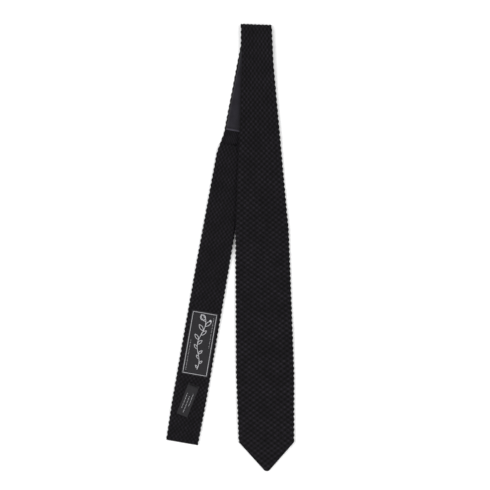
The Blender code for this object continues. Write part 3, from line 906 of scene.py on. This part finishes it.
def satin_layer(side):
    """A satin strip, turned under at its hem, with a rounded fold along the hem's edge."""

    def half(distance):
        turned = smoothstep((distance - HEM_AT + HEM_DEPTH) / MM)
        edge = smoothstep((distance - HEM_AT + 2.4 * MM) / (1.2 * MM))
        roll = closing(distance, HEM_AT, 0.9 * MM)
        return SATIN_THICK / 2 * (1 + 0.9 * turned + 0.9 * edge) * np.maximum(roll, 0.1)

    def middle(distance, inset):
        bed = satin_bed(distance, inset)
        if side is TAIL:
            stand = HEM_STAND * smoothstep((distance - HEM_AT + 3 * MM) / (3 * MM))
            on_felt = SATIN[0] + SATIN_THICK / 2
            return on_felt + (KNIT + SATIN_THICK * 0.95 - on_felt) * bed + stand
        free = np.interp(distance, [0.0, SEAM_AT, TUBE_AT], [0.5, 0.5, 2.0]) * SATIN_THICK
        return free + (face_offset(distance) - half(distance) - free) * bed * 0.8

    # no relief; the share of the hem's rounded edge that faces up, where the satin is painted lighter as a
    # painted highlight
    def painted_hem_highlight(wale, repeat, normal_z, distance):
        edge = smoothstep((distance - HEM_AT + 2.0 * MM) / (0.6 * MM))
        return np.zeros(wale.shape), edge * smoothstep(2 * normal_z)

    return layer(half, middle, SATIN_MARGIN, 0.3 * MM, painted_hem_highlight)


def make_satin(satin):
    layers = {TAIL: satin_layer(TAIL), BLADE: satin_layer(BLADE)}
    columns = 96
    for side in (TAIL, BLADE):
        name = f"neck_satin_{side.name}"
        rows = side.rows(SEAM_AT, HEM_AT, 5, close_at=[(HEM_AT, 1.2 * MM, 17)])
        made = along_side(name, side, rows, columns, layers[side], satin)
        finish_piece(made, [f"{name}_side"], side.body)
        declare_strip(side, SEAM_AT, HEM_AT, SATIN_MARGIN)
    turn = ("neck_satin_turn", columns, SATIN_TURN, (layers[TAIL], layers[BLADE]), satin)
    rest = (SATIN_MARGIN, sum(SATIN) / 2, "neck_fold_knit_turn")
    make_turn(*turn, "black_satin", "neck_fold_satin", *rest)

    def facing_middle(distance, inset):
        return TIP_DROP + SATIN_THICK / 2 - tip_fall(distance)

    start, end = SHOULDER_AT + 1.5 * MM, BLADE.length - 5 * MM
    facing = layer(SATIN_THICK / 2, facing_middle, FACING_MARGIN, 0.2 * MM)
    made = along_side("tip_facing_satin", BLADE, BLADE.rows(start, end, 4), 40, facing, satin)
    finish_piece(made, ["blade_tip_facing"], "blade_end")
    declare_strip(BLADE, start, end, FACING_MARGIN)


HEM_LINE = HEM_AT - HEM_DEPTH / 2
HEM_STITCHES = 20
END_STITCHES = 22
TIP_STITCHES = 14  # along each side of the point
WRAP_PITCH = 0.42 * MM  # from one turn of a bar tack to the next


def shares(count, reach):
    """Evenly spaced starts from one edge of a side to the other, as shares of its half width."""
    return [-reach + 2 * reach * number / count for number in range(count)]


def on_row(side, distance, share, height):
    """A point on a row: share runs from -1 at its left edge to 1 at its right."""
    left, right = side.row(distance)
    place = (left + right) / 2 + (right - left) / 2 * share
    return Vector((*place, height))


def sew(name, lines, thread, node, body, matrix=None, radius=THREAD):
    made = threads(name, lines, radius, thread, matrix)
    finish_piece(made, [node], body)


def hem_stitches(side):
    """Running stitches through the satin's hem, on the face of it that shows."""
    lines = []
    for share in shares(HEM_STITCHES, 0.9):
        ends = [on_row(side, HEM_LINE, share + step, KNIT + SATIN_THICK * 1.9) for step in (0.0, 0.055)]
        if side is BLADE:
            for place in ends:
                ground = blade_ground(np.array([place.xy]))[0]
                place.z = ground + face_offset(HEM_LINE) - SATIN_THICK * 2
        lines.append(stitch(*ends, 0.3 * MM if side is TAIL else -0.3 * MM))
    return lines


def closing_stitches():
    lines = []
    for share in shares(END_STITCHES, 0.94):
        start = on_row(TAIL, TAIL.length - 3.4 * MM, share, TUBE)
        end = on_row(TAIL, TAIL.length - 1.8 * MM, share + 0.04, TUBE - 0.25 * MM)
        lines.append(stitch(start, end, 0.35 * MM))
    return lines


def facing_stitches():
    """Slip stitches from the knit's turned edge into the facing, down both sides of the point."""
    lines = []
    start_at, end_at = SHOULDER_AT + 3 * MM, BLADE.length - 9 * MM
    for sign in (-1, 1):
        for distance in np.linspace(start_at, end_at, TIP_STITCHES):
            half_width = float(widths_along(BLADE, distance, distance + MM / 10)[0]) / 2
            height = max(TIP_DROP - float(tip_fall(distance)), THREAD)
            start = on_row(BLADE, distance, sign * (1 - 4.2 * MM / half_width), height)
            end = on_row(BLADE, distance + 1.2 * MM, sign * (1 - 3.0 * MM / half_width), height)
            lines.append(stitch(start, end, -0.1 * MM))
    return lines


def make_stitching(thread):
    """Hem stitches, closing stitches and bar tacks, each one a thread of its own."""
    for side in (TAIL, BLADE):
        lines, node = hem_stitches(side), f"satin_hem_thread_{side.name}_side"
        sew(f"satin_hem_stitches_{side.name}", lines, thread, node, side.body)
    sew("tail_end_stitches", closing_stitches(), thread, "tail_end_closing_thread", "tail_end")
    tip = facing_stitches()
    sew("tip_facing_stitches", tip, thread, "tip_facing_thread", "blade_end", radius=THREAD * 0.8)
    for name, node, body in (
        ("bar_tack_tail_wraps", "bar_tack_tail", "neck_and_tail"),
        ("bar_tack_blade_wraps", "bar_tack_blade", "blade"),
        ("care_label_tack_wraps", "care_label_tack", "tail_end"),
    ):
        middle, _, _, (width, length, thick) = block_place(node)
        wraps = round(length / WRAP_PITCH)
        height = thick * 0.6
        lines = []
        for number in range(wraps):
            y = -length / 2 + length * (number + 0.5) / wraps
            ends = (-width / 2, y, height), (width / 2, y + 0.1 * MM, height)
            lines.append(stitch(*ends, thick * 0.5))
        matrix = block_matrix(node)
        if body == "blade":
            fall = BED - float(blade_ground(np.array([middle.xy]))[0])
            matrix = Matrix.Translation((0, 0, -fall)) @ matrix
        sew(name, lines, thread, node, body, matrix)


LABEL_SOFTNESS = 0.45  # how much of a label's thickness its cut edges lose
BORDER_INSET = 2.4 * MM
SEAM_INSET = 1.2 * MM
SEAM_STITCHES = (30, 12)  # down each side of the large label, and across each end
LABEL_STITCH, STITCH_RISE = 1.8 * MM, 0.2 * MM
BORDER_STEPS = 24
LEAVES = 11
STEM_STEPS, CURL_STEPS, LEAF_STEPS, RING_STEPS = 60, 29, 8, 12
LABEL_DASHES = 22
FLAP_LIFT = 1.6 * MM  # how far the care label's free end has curled up
CARE_DASH_GAP = 0.035  # between the care label's dashes, as a share of half its length


def leafy_sprig(half_width, reach, height):
    """A made-up ornament: a waving stem with a curl at its head, and leaves on both sides of it."""
    half_width, reach = float(half_width), float(reach)

    def stem(share):
        return Vector((half_width * 0.20 * sin(tau * 1.3 * share + 0.6), reach * (1 - 2 * share), height))

    lines = [[stem(step / STEM_STEPS) for step in range(STEM_STEPS + 1)]]
    curl = []
    for step in range(CURL_STEPS + 1):
        turn, radius = tau * 1.5 * step / CURL_STEPS, half_width * 0.30 * (1 - 0.8 * step / CURL_STEPS)
        curl.append(stem(0) + radius * Vector((cos(turn) - 1.0, sin(turn), 0)))
    lines.append(curl)
    for leaf in range(LEAVES):
        share = (leaf + 0.7) / LEAVES
        base = stem(share)
        size = half_width * (0.75 - 0.45 * share)
        lean = radians(48) if leaf % 2 else radians(132)
        way = Vector((cos(lean), sin(lean), 0))
        aside = Vector((-way.y, way.x, 0))
        for bend in (-0.2, 0.2):
            parts = [part / LEAF_STEPS for part in range(LEAF_STEPS + 1)]
            lines.append([base + way * size * part + aside * size * bend * sin(pi * part) for part in parts])
    middle = Vector((half_width * 0.55, reach * 0.93, height))
    turns = [tau * step / RING_STEPS for step in range(RING_STEPS + 1)]
    for radius in (0.5 * MM, 1.3 * MM):
        lines.append([middle + radius * Vector((cos(turn), sin(turn), 0)) for turn in turns])
    return lines


def border_line(half_width, half_length, height):
    corners = [(-1, -1), (1, -1), (1, 1), (-1, 1)]
    line = []
    for (ax, ay), (bx, by) in zip(corners, corners[1:] + corners[:1]):
        for share in np.arange(BORDER_STEPS) / BORDER_STEPS:
            x, y = ax + (bx - ax) * share, ay + (by - ay) * share
            line.append((x * half_width, y * half_length, height))
    return line


def label_dashes(half_width, half_length, height):
    """A row of uneven dashes down part of each long side."""
    lines = []
    for x, start, end in ((-0.80, -0.9, 0.1), (0.80, -0.1, 0.9)):
        for number in range(LABEL_DASHES):
            y = half_length * (start + (end - start) * number / LABEL_DASHES)
            dash = (1.0 + 0.5 * sin(number * 2.4)) * MM
            lines.append([(x * half_width, y, height), (x * half_width, y + dash, height)])
    return lines


def label_seam(width, length, height):
    """Running stitches down the label's sides and across its ends."""
    lines, (down, across) = [], SEAM_STITCHES
    for sign in (-1, 1):
        for number in range(down):
            x, y = sign * (width / 2 - SEAM_INSET), -length / 2 + length * (number + 0.25) / down
            lines.append(stitch((x, y, height), (x, y + LABEL_STITCH, height), STITCH_RISE))
        for number in range(across):
            x, y = -width / 2 + width * (number + 0.25) / across, sign * (length / 2 - SEAM_INSET)
            lines.append(stitch((x, y, height), (x + LABEL_STITCH, y, height), STITCH_RISE))
    return lines


def care_dashes(width, length, thick):
    """Three rows of uneven dashes, which lift with the label's free end."""
    lines = []
    for x, start, end in ((-0.52, -0.55, 0.50), (0.02, -0.78, 0.28), (0.50, -0.30, 0.55)):
        y, number = start, 0
        while y < end:
            dash = 0.035 + 0.025 * sin(number * 2.1 + x * 9)
            places = [y + dash * part for part in (0.0, 0.5, 1.0)]
            lines.append(
                [(x * width / 2, a * length / 2, thick + free_end_lift(a, x, FLAP_LIFT)) for a in places]
            )
            y += dash + CARE_DASH_GAP
            number += 1
    return lines


def make_labels(ground, pale, thread):
    """The large label with its woven border and ornament, and the small one with rows of dashes."""
    label = label_cloth("brand_label_cloth", "brand_label", ground, (24, 56), ripple=0.10 * MM)
    finish_piece(label, ["brand_label"], "tail_end")
    width, length, thick = block_place("brand_label")[3]
    matrix = block_matrix("brand_label")
    inner = width / 2 - BORDER_INSET, length / 2 - BORDER_INSET
    border = [border_line(*inner, thick)]
    sprig = leafy_sprig(inner[0], inner[1] * 0.84, thick)
    for name, lines, radius, closed in (
        ("brand_label_border", border, 0.36 * MM, True),
        ("brand_label_sprig", sprig, 0.45 * MM, False),
        ("brand_label_dashes", label_dashes(*inner, thick), 0.28 * MM, False),
    ):
        made = threads(name, lines, radius, pale, matrix, closed)
        finish_piece(made, body="tail_end")
    seam = label_seam(width, length, thick)
    sew("brand_label_stitches", seam, thread, "brand_label_thread", "tail_end", matrix, THREAD * 0.8)

    flap = label_cloth("care_label_flap", "care_label", ground, (12, 36), 0.06 * MM, FLAP_LIFT)
    finish_piece(flap, ["care_label"], "care_label")
    width, length, thick = block_place("care_label")[3]
    head = label_cloth("care_label_head", "care_label_sewn_end", ground, (4, 12))
    finish_piece(head, ["care_label_sewn_end"], "tail_end")
    dashes = care_dashes(width, length, thick)
    made = threads("care_label_dashes", dashes, 0.36 * MM, pale, block_matrix("care_label"))
    finish_piece(made, body="care_label")


# --------------------------------------
# Studio


LIGHT_DISTANCE = 7.0
LIGHT_SIZE = 5.6
SOFTBOXES = (("left", -85, 45, 320.0), ("right", 80, 45, 230.0), ("foot", 175, 40, 130.0))
SKY_AT_HORIZON, SKY_OVERHEAD = 1.15, 0.42
LENS, SENSOR = 85.0, 36.0
LENGTH = CAD_BOX[1].y - CAD_BOX[0].y
VIEW_WIDTH = LENGTH * 1.096  # the tie fills most of the view from top to bottom
VIEW_CENTRE = (23.8 * MM, 3.8 * MM)  # the tie lies a little to the left of the middle


def make_floor():
    builder = bmesh.new()
    bmesh.ops.create_grid(builder, x_segments=2, y_segments=2, size=30.0)
    bmesh.ops.translate(builder, verts=builder.verts, vec=(0, 0, -0.3 * MM))
    new_object("floor", mesh_from(builder, "floor", paper_floor()))


def make_studio():
    make_floor()
    world = bpy.data.worlds.new("studio")
    world.use_nodes = True
    tree = world.node_tree
    height = add(tree, "ShaderNodeSeparateXYZ", {0: add(tree, "ShaderNodeTexCoord")["Generated"]})[2]
    glow = spread(tree, height, 0.05, 0.5, SKY_AT_HORIZON, SKY_OVERHEAD)
    set_inputs(tree, tree.nodes["Background"], {0: (1.0, 1.0, 1.0, 1.0), 1: glow})
    bpy.context.scene.world = world

    for name, azimuth, elevation, power in SOFTBOXES:
        light = bpy.data.lights.new(f"softbox {name}", "AREA")
        light.shape = "SQUARE"
        light.size = LIGHT_SIZE
        light.energy = power
        lamp = new_object(f"softbox {name}", light)
        a, e = radians(azimuth), radians(elevation)
        lamp.location = Vector((sin(a) * cos(e), cos(a) * cos(e), sin(e))) * LIGHT_DISTANCE
        lamp.rotation_euler = (-Vector(lamp.location)).to_track_quat("-Z", "Y").to_euler()

    camera = new_object("camera", bpy.data.cameras.new("camera"))
    camera.data.lens = LENS
    camera.data.sensor_width = SENSOR
    camera.location = (*VIEW_CENTRE, VIEW_WIDTH * LENS / SENSOR)
    camera.data.clip_end = 20.0
    bpy.context.scene.camera = camera
    bpy.context.scene.view_settings.view_transform = "Standard"


def main():
    knit, satin, felt = silk_knit(), silk_satin(), wool_felt()
    thread = sewing_thread("black sewing thread", "050506", "0D0D0F")
    grey_thread = sewing_thread("grey sewing thread", "19191B", "242427")
    ground = damask("label ground", "1E1D1F", "2C2B2E")
    pale = damask("label figure", "A6A6AA", "CCCCD0")
    make_studio()
    make_knit(knit)
    make_interlining(felt)
    make_satin(satin)
    make_stitching(thread)
    make_labels(ground, pale, grey_thread)


main()
